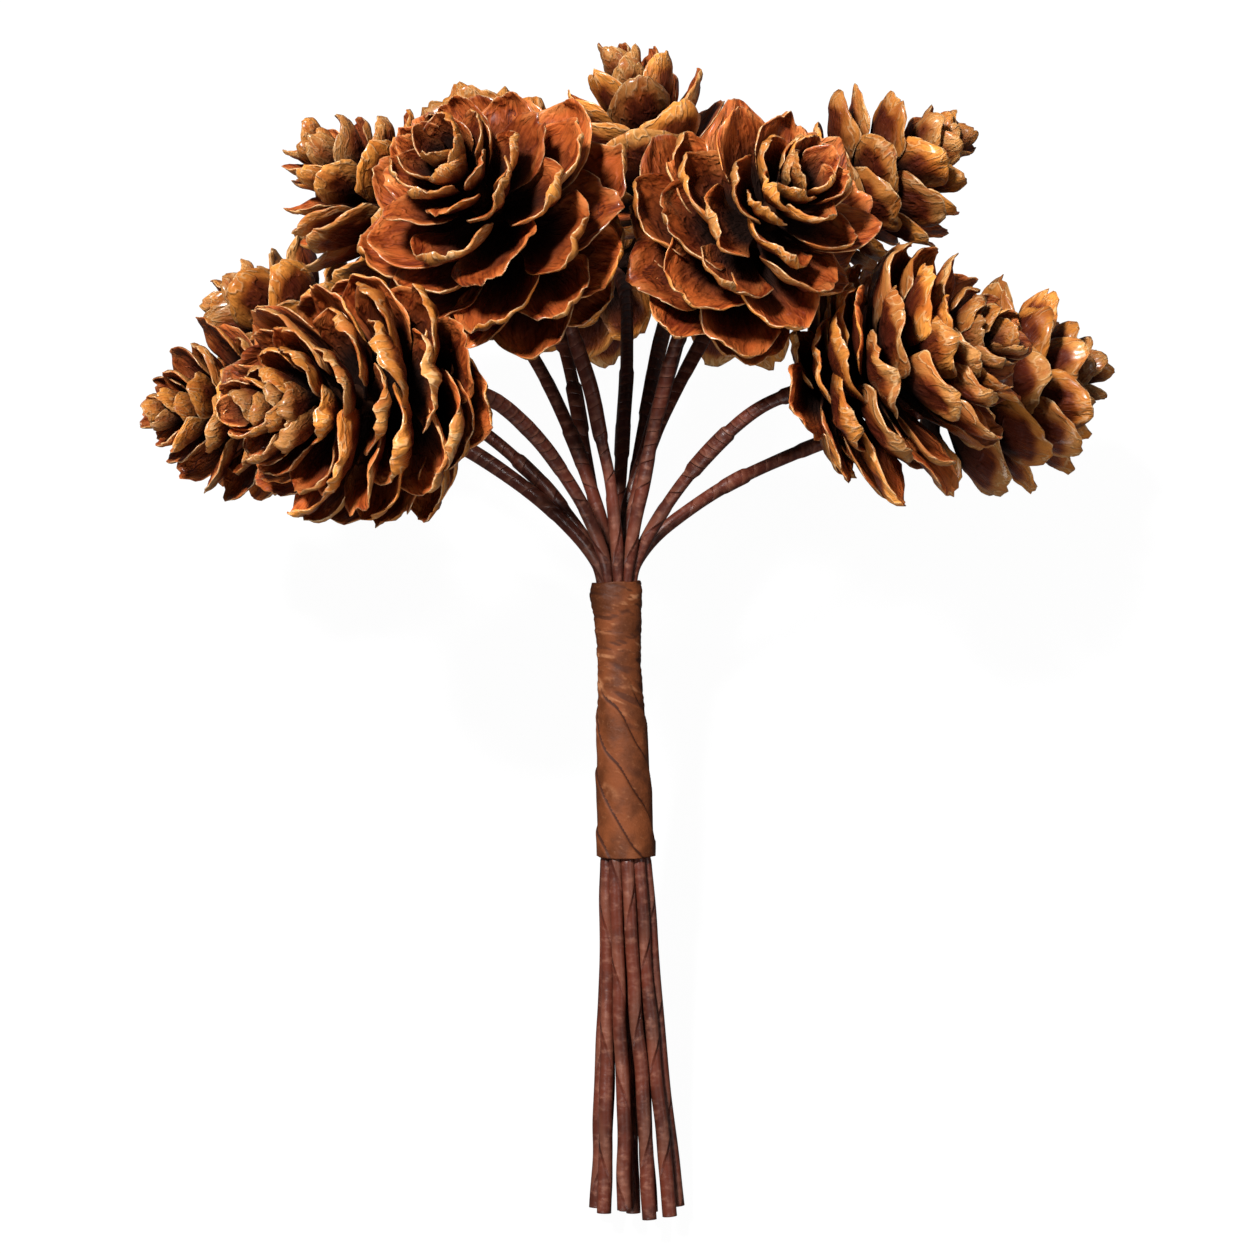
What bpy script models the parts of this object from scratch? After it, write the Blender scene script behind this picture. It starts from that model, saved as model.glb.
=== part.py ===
# Pine cone pick: thirteen small open cones, each on a wire stem wound with tape, bound in one bunch.
# The bunch is laid down: the cut ends of its lower stems and two cones at its back touch the table.
# Units are metres and +Z is up. The bunch is built in its own frame, with +Y along the stems
# towards the cones, +X to the right and +Z towards its front, and a parent empty lays it down.

import math
import random

import bmesh
import bpy
from mathutils import Matrix, Vector

MM = 0.001
SHARP_ANGLE = math.radians(50)
WELD_DISTANCE = 1e-6
TOUCH_DEPTH = 1e-6

# The bunch, measured along its own axis from the lowest stem end
GATHER_Y = 81 * MM
BINDING_LENGTH = 35 * MM
BINDING_TOP = Vector((-0.7 * MM, GATHER_Y, 0))
BINDING_FOOT = Vector((0.5 * MM, GATHER_Y - BINDING_LENGTH, 0))

# How it lies: the axis rises towards the cones, and starts this high above the table
LIE_TILT = math.radians(22)
AXIS_LIFT = 3.62 * MM
TABLE_CUT_DEPTH = 20 * MM
TABLE_CUT_SIZE = 400 * MM
TIP_PRESS = 0.6 * MM

# Stems: a steel wire inside a wound paper tape, closed at the cut end
TAPE_RADIUS = 0.82 * MM
TAPE_RADIUS_BOUND = 0.58 * MM
TAPE_RADIUS_SEAT = 1.0 * MM
TAPE_BORE = 0.42 * MM
TAPE_END = 0.4 * MM
WIRE_RADIUS = 0.27 * MM
WIRE_GRIP = 4.6 * MM
STEM_PITCH = 1.28 * MM
STEM_RING = 10
STEM_RING_TURN = 14
STEM_HEART = 3
STEM_HEART_TURN = 150
STEM_END_TURN = math.radians(14)
STEM_SPLAY_X = 2.5
STEM_SPLAY_Z = 1.68
STEM_END_SHIFT_X = 1.9 * MM
STEM_END_RISES = (1.2, 0.2, 0.0, 1.2, 0.6, 1.0, 0.7, 0.3, 0.3, 0.4, 0.7, 0.1, 0.5)
STEM_SWING = 0.85
STEM_RISE_LOW = 0.6
STEM_RISE_HIGH = 1.15
STEM_FLARE = 0.16
STEM_NECK = 2.5 * MM
STEM_THICKENING = 2.3
FAN_STEPS = 5
SEAT_GAP = 0.25 * MM
BORE_PAST_TOP = 1.0 * MM
WIRE_END_GAP = 0.1 * MM

# Tape that binds the bunch: (share of its length from the top, outer radius)
BINDING_PROFILE = (
    (0.0, 3.32 * MM),
    (0.04, 3.42 * MM),
    (0.14, 3.24 * MM),
    (0.40, 3.16 * MM),
    (0.62, 3.36 * MM),
    (1.0, 3.68 * MM),
)
BINDING_BORE = 2.86 * MM
BINDING_SIDES = 14

# A cone's core: its profile is (share of its radius, share of its length) from the tip down
CORE_RADIUS = 2.5 * MM
CORE_SHARE = 0.74
CORE_SIDES = 5
CORE_PROFILE = ((0.0, 1.0), (0.6, 0.96), (1.0, 0.1), (0.6, 0.0), (0.0, 0.0))
SOCKET_RADIUS = 0.45 * MM
SOCKET_DEPTH = 5.0 * MM
SOCKET_SIDES = 6
CLEARANCE = 0.3 * MM

# Scales: they climb the core by the golden angle, fullest a third of the way up
GOLDEN_ANGLE = math.radians(137.508)
SCALE_THICKNESS = 0.6 * MM
SCALE_ROOT_RADIUS = 0.5 * MM
SCALE_ROOTS = (0.03, 0.93)
SCALE_LENGTH_SHARE = 0.50
SCALE_WIDTH_SHARE = 0.46
SCALE_FULLNESS_LOW = 0.74
SCALE_FULLNESS_TIP = 0.46
SCALE_FULL_FROM = 0.25
SCALE_TAPER_FROM = 0.4
SCALE_WIDTH_EASE = 0.8
SCALE_OPENING_EASE = 0.95

# The ranges that make each scale its own, angles in degrees
SCALE_RANGES = {
    "turn": (-3, 3),
    "opening": (-2.5, 2.5),
    "length": (0.93, 1.05),
    "width": (0.92, 1.12),
    "twist": (-7, 7),
    "bend": (24, 32),
    "recurve": (-10, 50),
    "cup": (0.06, 0.20),
    "curl": (-0.05, 0.22),
    "wave": (0.01, 0.04),
    "phase": (0, 360),
}

# How a scale's middle surface runs out from its root
SCALE_STEPS = 8
BEND_MIDDLE = 0.45
RECURVE_SPAN = (0.72, 1.05)
CLAW_WIDTH = 0.14
CLAW_SPAN = (0.12, 0.72)
CUP_AT_TIP = 0.6
CURL_SPAN = (0.5, 1.0)
WAVES_ALONG = 6
WAVES_ACROSS = 2.4
HUG_SHARE = 0.9

# Steps that bring a scale back inside its walls: (times shortened, times closed)
CLEARING_ROUNDS = ((8, 0), (0, 10), (24, 0))
SHORTER = 0.96
NARROWER = 0.98
CLOSER = math.radians(4)

# Where each scale's flat outline has its points: (share of its length, share of its half width)
SCALE_POINTS = (
    (0.66, 0.0),
    (0.0, 0.0),
    (0.40, 1.0),
    (0.76, 1.0),
    (0.98, 0.46),
    (0.98, -0.46),
    (0.76, -1.0),
    (0.40, -1.0),
)
SCALE_FACES = tuple((0, i, i % 7 + 1) for i in range(1, 8))

# Each cone: its middle, from the gathering point, in mm; the turn round the bunch's axis and the
# lean from it that its own axis takes, in degrees; its length and spread in mm; its scales; how
# open they are at base and tip, in degrees; its seed; and its stem's slot in the bunch.
CONES = {
    "cone_front_left": ((-35, 20.7, 35), (143, 96), (34, 35), 24, (88, 18), 11, 3),
    "cone_front_right": ((37.3, 27.5, 19), (20, 76), (31, 35), 23, (86, 20), 12, 0),
    "cone_side_right": ((53, 26, -14), (-16, 76), (29, 32), 18, (80, 20), 13, 9),
    "cone_side_left": ((-51, 22, 3), (152, 94), (27, 28), 17, (84, 20), 14, 4),
    "cone_back_left": ((-45.5, 34.5, -15), (196, 66), (27, 28), 17, (88, 20), 15, 5),
    "cone_high_left": ((-33, 50, 3), (174, 50), (29, 29), 18, (84, 20), 16, 10),
    "cone_high_back": ((-19, 56.5, -18), (225, 36), (28, 29), 17, (84, 20), 23, 6),
    "cone_centre_left": ((-17.3, 46.2, 27), (118, 64), (31, 35), 24, (100, 22), 17, 2),
    "cone_top": ((2.5, 58.2, -4), (165, 19), (27, 30), 18, (88, 16), 18, 11),
    "cone_centre_right": ((18, 44, 27), (60, 64), (29, 34), 23, (102, 28), 19, 1),
    "cone_high_right": ((36, 53.5, -3), (0, 58), (28, 27), 18, (80, 16), 20, 12),
    "cone_rest_right": ((20, 44.7, -43.7), (-58, 84), (27, 29), 17, (88, 20), 21, 8),
    "cone_rest_left": ((-7, 44.5, -44), (250, 84), (26, 28), 17, (88, 20), 22, 7),
}


def smooth_step(low, high, value):
    share = min(1.0, max(0.0, (value - low) / (high - low)))
    return share * share * (3 - 2 * share)


def mix(start, end, share):
    return start + (end - start) * share


def clear_scene():
    for obj in list(bpy.data.objects):
        bpy.data.objects.remove(obj, do_unlink=True)


def new_collection(name):
    collection = bpy.data.collections.new(name)
    bpy.context.scene.collection.children.link(collection)
    return collection


def new_material(name, colour, roughness, metallic=0.0):
    material = bpy.data.materials.new(name)
    material.use_nodes = True
    shader = material.node_tree.nodes["Principled BSDF"]
    shader.inputs["Base Color"].default_value = (*colour, 1.0)
    shader.inputs["Roughness"].default_value = roughness
    shader.inputs["Metallic"].default_value = metallic
    return material


def new_object(name, mesh, collection):
    obj = bpy.data.objects.new(name, mesh)
    collection.objects.link(obj)
    return obj


def evaluated_mesh(obj):
    bpy.context.view_layer.update()
    graph = bpy.context.evaluated_depsgraph_get()
    return bpy.data.meshes.new_from_object(obj.evaluated_get(graph))


def weld(mesh):
    cage = bmesh.new()
    cage.from_mesh(mesh)
    bmesh.ops.remove_doubles(cage, verts=cage.verts, dist=WELD_DISTANCE)
    bmesh.ops.recalc_face_normals(cage, faces=cage.faces)
    cage.to_mesh(mesh)
    cage.free()


def shade_round(obj):
    obj.data.shade_smooth()
    obj.data.set_sharp_from_angle(angle=SHARP_ANGLE)


def as_cutter(obj, cutters):
    """Moves an object in with the cutters, which show as wires and aren't rendered."""
    for collection in list(obj.users_collection):
        collection.objects.unlink(obj)
    cutters.objects.link(obj)
    obj.display_type = "WIRE"
    obj.hide_render = True
    return obj


def apply_boolean(obj, operation, others):
    """Joins or cuts obj with an object or a whole collection, then removes what it used."""
    modifier = obj.modifiers.new(operation.title(), "BOOLEAN")
    modifier.operation = operation
    modifier.solver = "EXACT"
    if isinstance(others, bpy.types.Collection):
        modifier.operand_type = "COLLECTION"
        modifier.collection = others
        used = list(others.objects)
    else:
        modifier.object = others
        used = [others]
    mesh = evaluated_mesh(obj)
    obj.modifiers.clear()
    obj.data = mesh
    for other in used:
        bpy.data.objects.remove(other, do_unlink=True)


def turned_shape(name, profile, sides, collection):
    """A solid turned round Z from (radius, height) points that run down its outer side."""
    mesh = bpy.data.meshes.new(name)
    points = [(radius, 0.0, height) for radius, height in profile]
    edges = [(i, i + 1) for i in range(len(points) - 1)]
    mesh.from_pydata(points, edges, [])
    obj = new_object(name, mesh, collection)
    screw = obj.modifiers.new("Turn", "SCREW")
    screw.steps = sides
    screw.render_steps = sides
    screw.use_merge_vertices = True
    screw.merge_threshold = 1e-5
    turned = evaluated_mesh(obj)
    obj.modifiers.clear()
    obj.data = turned
    weld(turned)
    return obj


def tube(name, points, radii, collection, corners=1):
    """A solid tube along points, with a radius at each, as a closed mesh."""
    curve = bpy.data.curves.new(name, "CURVE")
    curve.dimensions = "3D"
    curve.bevel_depth = 1.0
    curve.bevel_resolution = corners
    curve.use_fill_caps = True
    spline = curve.splines.new("POLY")
    spline.points.add(len(points) - 1)
    for point, place, radius in zip(spline.points, points, radii):
        point.co = (*place, 1.0)
        point.radius = radius
    route = new_object(name + "_route", curve, collection)
    mesh = evaluated_mesh(route)
    bpy.data.objects.remove(route, do_unlink=True)
    weld(mesh)
    return new_object(name, mesh, collection)


def stem_slots():
    """Where the stems sit side by side inside the binding: a ring, then the three at its heart."""
    ring = 0.5 / math.sin(math.pi / STEM_RING)
    heart = 0.5 / math.sin(math.pi / STEM_HEART)
    places = [(ring, STEM_RING_TURN + 360 / STEM_RING * i) for i in range(STEM_RING)]
    places += [(heart, STEM_HEART_TURN + 360 / STEM_HEART * i) for i in range(STEM_HEART)]
    return [
        Vector((math.cos(math.radians(angle)), 0, math.sin(math.radians(angle)))) * radius
        for radius, angle in places
    ]


def lean_direction(turn, lean):
    """The direction that leans from the bunch's axis by lean, turned round it from +X to +Z."""
    turn, lean = math.radians(turn), math.radians(lean)
    return Vector(
        (math.sin(lean) * math.cos(turn), math.cos(lean), math.sin(lean) * math.sin(turn))
    )


def cone_layout(entry):
    """Everything about one cone's place and size, in metres, worked out from its entry."""
    middle, (turn, lean), (length, spread), count, openness, seed, slot = entry
    axis = lean_direction(turn, lean)
    centre = Vector(middle) * MM + Vector((0, GATHER_Y, 0))
    base = centre - axis * (length * MM / 2)
    side = axis.orthogonal().normalized()
    frame = Matrix.Translation(base) @ Matrix(
        (side, axis.cross(side), axis)
    ).transposed().to_4x4()
    return {
        "axis": axis,
        "centre": centre,
        "base": base,
        "frame": frame,
        "length": length * MM,
        "spread": spread * MM,
        "count": count,
        "open_base": openness[0],
        "open_tip": openness[1],
        "seed": seed,
        "slot": slot,
    }


def walls_round(cone, others):
    """Planes (point, outward normal) that part a cone from its neighbours and from the table."""
    walls = []
    radius = cone["spread"] / 2
    for other in others:
        if other is cone:
            continue
        way = other["centre"] - cone["centre"]
        distance = way.length
        share = (distance**2 + radius**2 - (other["spread"] / 2) ** 2) / (2 * distance)
        normal = way.normalized()
        walls.append((cone["centre"] + normal * (share - CLEARANCE), normal))
    down = Vector((0, -math.sin(LIE_TILT), -math.cos(LIE_TILT)))
    table = down * (AXIS_LIFT + TIP_PRESS)
    walls.append((table, down))
    return walls


def draw_scale(rng, cone, index):
    """One scale's form: its place on the core and the random draws that make it its own."""
    share = (index + 0.5) / cone["count"]
    drawn = {key: rng.uniform(low, high) for key, (low, high) in SCALE_RANGES.items()}
    fullness = mix(SCALE_FULLNESS_LOW, 1.0, smooth_step(0, SCALE_FULL_FROM, share))
    fullness *= mix(1.0, SCALE_FULLNESS_TIP, smooth_step(SCALE_TAPER_FROM, 1.0, share))
    opening = mix(cone["open_base"], cone["open_tip"], share**SCALE_OPENING_EASE)
    width = cone["spread"] * SCALE_LENGTH_SHARE * SCALE_WIDTH_SHARE
    return {
        "height": cone["length"] * CORE_SHARE * mix(*SCALE_ROOTS, share),
        "azimuth": index * GOLDEN_ANGLE + math.radians(drawn["turn"]),
        "opening": math.radians(opening + drawn["opening"]),
        "length": cone["spread"] * SCALE_LENGTH_SHARE * fullness * drawn["length"],
        "half_width": width * mix(1.0, fullness, SCALE_WIDTH_EASE) * drawn["width"],
        "twist": math.radians(drawn["twist"]),
        "bend": math.radians(drawn["bend"]),
        "recurve": math.radians(drawn["recurve"]),
        "cup": drawn["cup"],
        "curl": drawn["curl"],
        "wave": drawn["wave"],
        "phase": math.radians(drawn["phase"]),
    }


def scale_point(scale, along, across):
    """A point of the scale's middle surface in the cone's frame, with the cone's axis on +Z."""
    radius, height, angle = SCALE_ROOT_RADIUS, scale["height"], scale["opening"]
    stride = along * scale["length"] / SCALE_STEPS
    for step in range(SCALE_STEPS):
        here = along * (step + 0.5) / SCALE_STEPS
        angle = scale["opening"] + scale["bend"] * (BEND_MIDDLE - here)
        angle += scale["recurve"] * smooth_step(*RECURVE_SPAN, here)
        radius += math.sin(angle) * stride
        height += math.cos(angle) * stride
    half_width = scale["half_width"] * mix(CLAW_WIDTH, 1.0, smooth_step(*CLAW_SPAN, along))
    side = across * half_width
    phase = WAVES_ALONG * along + WAVES_ACROSS * across + scale["phase"]
    lift = scale["cup"] * half_width * across**2 * mix(1.0, CUP_AT_TIP, along)
    lift -= scale["curl"] * half_width * smooth_step(*CURL_SPAN, abs(across)) * along
    lift += scale["wave"] * half_width * math.sin(phase)
    twist = scale["twist"] * along
    side, lift = (
        side * math.cos(twist) - lift * math.sin(twist),
        side * math.sin(twist) + lift * math.cos(twist),
    )
    hug = max(radius, HUG_SHARE * scale["half_width"])
    radius -= hug * (1 - math.cos(side / hug)) + math.cos(angle) * lift
    height += math.sin(angle) * lift
    side = hug * math.sin(side / hug)
    turn = scale["azimuth"]
    return Vector(
        (
            radius * math.cos(turn) - side * math.sin(turn),
            radius * math.sin(turn) + side * math.cos(turn),
            height,
        )
    )


def reaches_past(scale, frame, walls):
    edge = [frame @ scale_point(scale, along, across) for along, across in SCALE_POINTS]
    return any((point - foot).dot(normal) > 0 for foot, normal in walls for point in edge)


def bend_clear(scale, frame, walls):
    """Shortens a scale, then closes it, until it stays on its own side of every wall."""
    for shortenings, closings in CLEARING_ROUNDS:
        for _ in range(max(shortenings, closings)):
            if not reaches_past(scale, frame, walls):
                return
            if shortenings:
                scale["length"] *= SHORTER
                scale["half_width"] *= NARROWER
            if closings:
                scale["opening"] -= CLOSER


def cone_scales(cone, walls):
    rng = random.Random(cone["seed"])
    scales = [draw_scale(rng, cone, index) for index in range(cone["count"])]
    for scale in scales:
        bend_clear(scale, cone["frame"], walls)
    return scales


def make_scale(scale, collection):
    """One thin curved scale: an open sheet with Solidify, its triangles alike on both faces."""
    mesh = bpy.data.meshes.new("scale")
    points = [scale_point(scale, along, across) for along, across in SCALE_POINTS]
    mesh.from_pydata(points, [], SCALE_FACES)
    obj = new_object("scale", mesh, collection)
    solidify = obj.modifiers.new("Thickness", "SOLIDIFY")
    solidify.thickness = SCALE_THICKNESS
    solidify.offset = 0.0
    return obj


def make_cone(name, cone, walls, collection, cutters, material):
    """A cone's woody core with its scales fused in and a blind hole for the stem's wire."""
    length = cone["length"] * CORE_SHARE
    profile = [(out * CORE_RADIUS, up * length) for out, up in CORE_PROFILE]
    core = turned_shape(name, profile, CORE_SIDES, collection)
    sprouts = new_collection(name + "_scales")
    for scale in cone_scales(cone, walls):
        make_scale(scale, sprouts)
    apply_boolean(core, "UNION", sprouts)
    bpy.data.collections.remove(sprouts)
    bpy.ops.mesh.primitive_cylinder_add(
        vertices=SOCKET_SIDES,
        radius=SOCKET_RADIUS,
        depth=2 * SOCKET_DEPTH,
        location=(0, 0, 0),
    )
    apply_boolean(core, "DIFFERENCE", as_cutter(bpy.context.active_object, cutters))
    core.matrix_world = cone["frame"]
    core.data.materials.clear()
    core.data.materials.append(material)
    return core


def stem_route(cone, slot):
    """Points along one stem from its cut end to its cone, and the tape's radius at each."""
    spread = Matrix.Rotation(STEM_END_TURN, 3, "Y") @ slot
    lowest = Vector(
        (
            spread.x * STEM_PITCH * STEM_SPLAY_X + STEM_END_SHIFT_X,
            STEM_END_RISES[cone["slot"]] * MM,
            spread.z * STEM_PITCH * STEM_SPLAY_Z,
        )
    )
    bound = slot * STEM_PITCH
    foot = bound + BINDING_FOOT - Vector((0, MM, 0))
    gather = bound + BINDING_TOP + Vector((0, MM, 0))
    end = cone["base"] - cone["axis"] * (SEAT_GAP + STEM_NECK)
    points = [lowest, foot]
    radii = [TAPE_RADIUS, TAPE_RADIUS_BOUND]
    swing = (end - gather).length * STEM_SWING
    rise = swing * mix(STEM_RISE_LOW, STEM_RISE_HIGH, max(0, cone["axis"].y))
    for step in range(FAN_STEPS + 1):
        share = step / FAN_STEPS
        leave = (1 + 2 * share) * (1 - share) ** 2
        arrive = share**2 * (3 - 2 * share)
        up = (Vector((0, 1, 0)) + slot * STEM_FLARE) * (share * (1 - share) ** 2 * rise)
        turn = cone["axis"] * (share**2 * (share - 1) * swing)
        points.append(gather * leave + end * arrive + up + turn)
        radii.append(mix(TAPE_RADIUS_BOUND, TAPE_RADIUS, min(1, STEM_THICKENING * share)))
    points.append(cone["base"] - cone["axis"] * SEAT_GAP)
    radii[-1] = TAPE_RADIUS_SEAT
    radii.append(TAPE_RADIUS_SEAT)
    return points, radii


def make_stem(number, cone, slot, collection, cutters, tape_material, wire_material):
    """A stem's wire, which grips in the cone, and the tape wound round it."""
    points, radii = stem_route(cone, slot)
    tape = tube(f"stem_tape_{number:02d}", points, radii, collection)
    start = (points[1] - points[0]).normalized()
    inside = [points[0] + start * TAPE_END] + points[1:]
    past_top = points[-1] + cone["axis"] * BORE_PAST_TOP
    bore = tube("bore", inside + [past_top], [TAPE_BORE] * (len(points) + 1), cutters, 0)
    apply_boolean(tape, "DIFFERENCE", as_cutter(bore, cutters))
    wire_points = [inside[0] + start * WIRE_END_GAP] + points[1:]
    wire_points.append(cone["base"] + cone["axis"] * WIRE_GRIP)
    radii = [WIRE_RADIUS] * len(wire_points)
    wire = tube(f"stem_wire_{number:02d}", wire_points, radii, collection, 0)
    tape.data.materials.append(tape_material)
    wire.data.materials.append(wire_material)
    shade_round(tape)
    shade_round(wire)
    return [tape, wire]


def make_binding(collection, material):
    """The tape wound round all the stems, as one sleeve."""
    outside = [(radius, -share * BINDING_LENGTH) for share, radius in BINDING_PROFILE]
    inside = [(BINDING_BORE, -BINDING_LENGTH), (BINDING_BORE, 0.0)]
    profile = outside + inside + outside[:1]
    binding = turned_shape("binding_tape", profile, BINDING_SIDES, collection)
    rise = (BINDING_TOP - BINDING_FOOT).to_track_quat("Z", "Y").to_matrix().to_4x4()
    binding.matrix_world = Matrix.Translation(BINDING_TOP) @ rise
    binding.data.materials.append(material)
    shade_round(binding)
    return binding


def lay_down(pieces):
    """Parents the pieces to an empty that tilts the bunch, and centres it over the origin."""
    lie = bpy.data.objects.new("pick_lie", None)
    bpy.context.scene.collection.objects.link(lie)
    for piece in pieces:
        piece.parent = lie
    lie.rotation_euler = (LIE_TILT, 0, 0)
    lie.location = (0, 0, AXIS_LIFT)
    bpy.context.view_layer.update()
    corners = [piece.matrix_world @ vertex.co for piece in pieces for vertex in piece.data.vertices]
    for axis in (0, 1):
        values = [corner[axis] for corner in corners]
        lie.location[axis] -= (min(values) + max(values)) / 2
    bpy.context.view_layer.update()


def press_flat(pieces, cutters):
    """Cuts what reaches below the table's top, which leaves small flats to rest on."""
    for piece in pieces:
        lowest = min((piece.matrix_world @ vertex.co).z for vertex in piece.data.vertices)
        if lowest > -TOUCH_DEPTH:
            continue
        bpy.ops.mesh.primitive_cube_add(size=1, location=(0, 0, -TABLE_CUT_DEPTH / 2))
        table = bpy.context.active_object
        table.scale = (TABLE_CUT_SIZE, TABLE_CUT_SIZE, TABLE_CUT_DEPTH)
        apply_boolean(piece, "DIFFERENCE", as_cutter(table, cutters))


def main():
    clear_scene()
    pick = new_collection("pine_cone_pick")
    cutters = new_collection("pine_cone_pick_cutters")
    cutters.hide_render = True
    cone_brown = new_material("cone_brown", (0.36, 0.14, 0.045), 0.45)
    tape_brown = new_material("tape_brown", (0.075, 0.030, 0.022), 0.55)
    binding_brown = new_material("binding_brown", (0.17, 0.062, 0.025), 0.65)
    wire_steel = new_material("wire_steel", (0.45, 0.44, 0.42), 0.35, 1.0)
    cones = {name: cone_layout(entry) for name, entry in CONES.items()}
    slots = stem_slots()
    pieces = []
    for number, (name, cone) in enumerate(cones.items(), start=1):
        walls = walls_round(cone, cones.values())
        pieces.append(make_cone(name, cone, walls, pick, cutters, cone_brown))
        slot = slots[cone["slot"]]
        pieces += make_stem(number, cone, slot, pick, cutters, tape_brown, wire_steel)
    pieces.append(make_binding(pick, binding_brown))
    lay_down(pieces)
    press_flat(pieces, cutters)


main()
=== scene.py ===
import math

import bpy
import numpy as np
from mathutils import Matrix, Vector


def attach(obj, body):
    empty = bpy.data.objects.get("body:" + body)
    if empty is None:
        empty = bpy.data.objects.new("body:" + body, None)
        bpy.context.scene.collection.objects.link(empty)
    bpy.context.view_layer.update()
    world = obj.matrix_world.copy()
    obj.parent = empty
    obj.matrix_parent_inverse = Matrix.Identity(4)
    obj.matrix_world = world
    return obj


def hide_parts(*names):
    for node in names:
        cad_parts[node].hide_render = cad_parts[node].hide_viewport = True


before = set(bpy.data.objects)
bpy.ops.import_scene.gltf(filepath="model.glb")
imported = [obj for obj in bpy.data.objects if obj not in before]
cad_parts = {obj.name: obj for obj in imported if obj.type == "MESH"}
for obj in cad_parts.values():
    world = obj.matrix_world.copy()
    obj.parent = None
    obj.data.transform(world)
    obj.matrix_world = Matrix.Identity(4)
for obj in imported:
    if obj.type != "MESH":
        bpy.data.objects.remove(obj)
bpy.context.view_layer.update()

mm = 0.001

# The bunch as the solids have it: +Y runs up the stems, +Z is its front, and it lies tilted
bunch = {
    "tilt": math.radians(22),
    "lift": 3.62 * mm,
    "gatherY": 81 * mm,
    "bindingLength": 35 * mm,
    "bindingTop": Vector((-0.7 * mm, 81 * mm, 0)),
    "bindingFoot": Vector((0.5 * mm, 46 * mm, 0)),
}

# Each cone: middle from the gathering point in mm, turn and lean of its axis in degrees, length
# and spread in mm, number of scales, how open they are at base and tip, seed, slot in the bunch.
# ease, flare, roll and tipSize stand in for those in scaleForm where a cone has its own
coneBook = {
    "cone_front_left": {
        "middle": (-35, 20.7, 35), "turn": 143, "lean": 96, "length": 34, "spread": 35,
        "scales": 74, "open": (82, 16), "ease": 1.5, "flare": 0, "seed": 211, "slot": 3,
    },
    "cone_front_right": {
        "middle": (37.3, 27.5, 19), "turn": 20, "lean": 76, "length": 31, "spread": 35,
        "scales": 60, "open": (88, 20), "ease": 1.4, "flare": 0, "seed": 312, "slot": 0,
    },
    "cone_side_right": {
        "middle": (53, 26, -14), "turn": -16, "lean": 76, "length": 29, "spread": 32,
        "scales": 46, "open": (88, 22), "roll": 0.35, "seed": 413, "slot": 9,
    },
    "cone_side_left": {
        "middle": (-51, 22, 3), "turn": 152, "lean": 94, "length": 27, "spread": 28,
        "scales": 44, "open": (90, 20), "roll": 0.5, "seed": 514, "slot": 4,
    },
    "cone_back_left": {
        "middle": (-45.5, 34.5, -15), "turn": 196, "lean": 66, "length": 27, "spread": 28,
        "scales": 42, "open": (90, 20), "roll": 0.4, "seed": 615, "slot": 5,
    },
    "cone_high_left": {
        "middle": (-33, 50, 3), "turn": 174, "lean": 50, "length": 29, "spread": 29,
        "scales": 44, "open": (90, 20), "roll": 0.5, "seed": 716, "slot": 10,
    },
    "cone_high_back": {
        "middle": (-19, 56.5, -18), "turn": 225, "lean": 36, "length": 28, "spread": 29,
        "scales": 38, "open": (88, 20), "roll": 0.5, "seed": 823, "slot": 6,
    },
    "cone_centre_left": {
        "middle": (-17.3, 46.2, 27), "turn": 118, "lean": 64, "length": 31, "spread": 35,
        "scales": 56, "open": (100, 20), "ease": 1.2, "tipSize": 0.46, "seed": 917, "slot": 2,
    },
    "cone_top": {
        "middle": (2.5, 58.2, -4), "turn": 165, "lean": 19, "length": 27, "spread": 30,
        "scales": 34, "open": (94, 4), "ease": 0.9, "roll": 0.4, "tipSize": 0.46,
        "seed": 131, "slot": 11,
    },
    "cone_centre_right": {
        "middle": (18, 44, 27), "turn": 60, "lean": 64, "length": 29, "spread": 34,
        "scales": 52, "open": (100, 24), "ease": 1.2, "tipSize": 0.46, "seed": 219, "slot": 1,
    },
    "cone_high_right": {
        "middle": (36, 53.5, -3), "turn": 0, "lean": 58, "length": 28, "spread": 27,
        "scales": 42, "open": (88, 18), "roll": 0.5, "seed": 320, "slot": 12,
    },
    "cone_rest_right": {
        "middle": (20, 44.7, -43.7), "turn": -58, "lean": 84, "length": 27, "spread": 29,
        "scales": 36, "open": (88, 20), "roll": 0.5, "seed": 421, "slot": 8,
    },
    "cone_rest_left": {
        "middle": (-7, 44.5, -44), "turn": 250, "lean": 84, "length": 26, "spread": 28,
        "scales": 36, "open": (88, 20), "roll": 0.5, "seed": 522, "slot": 7,
    },
}


def smoothStep(low, high, value):
    share = np.clip((value - low) / (high - low), 0.0, 1.0)
    return share * share * (3 - 2 * share)


def mix(start, end, share):
    return start + (end - start) * share


# A soft wavy field from a few seeded sines, about -1 to 1, for edges and folds
def rippleField(rng, x, y, roughX, roughY, layers=5):
    total = np.zeros(np.broadcast(x, y).shape)
    for layer in range(layers):
        stretch = 1.0 + 0.75 * layer
        swingX = roughX * stretch * rng.uniform(0.6, 1.3)
        swingY = roughY * stretch * rng.uniform(0.6, 1.3) * rng.choice((-1, 1))
        total = total + np.sin(x * swingX + y * swingY + rng.uniform(0, math.tau)) / stretch
    return total / 2.0


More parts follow.
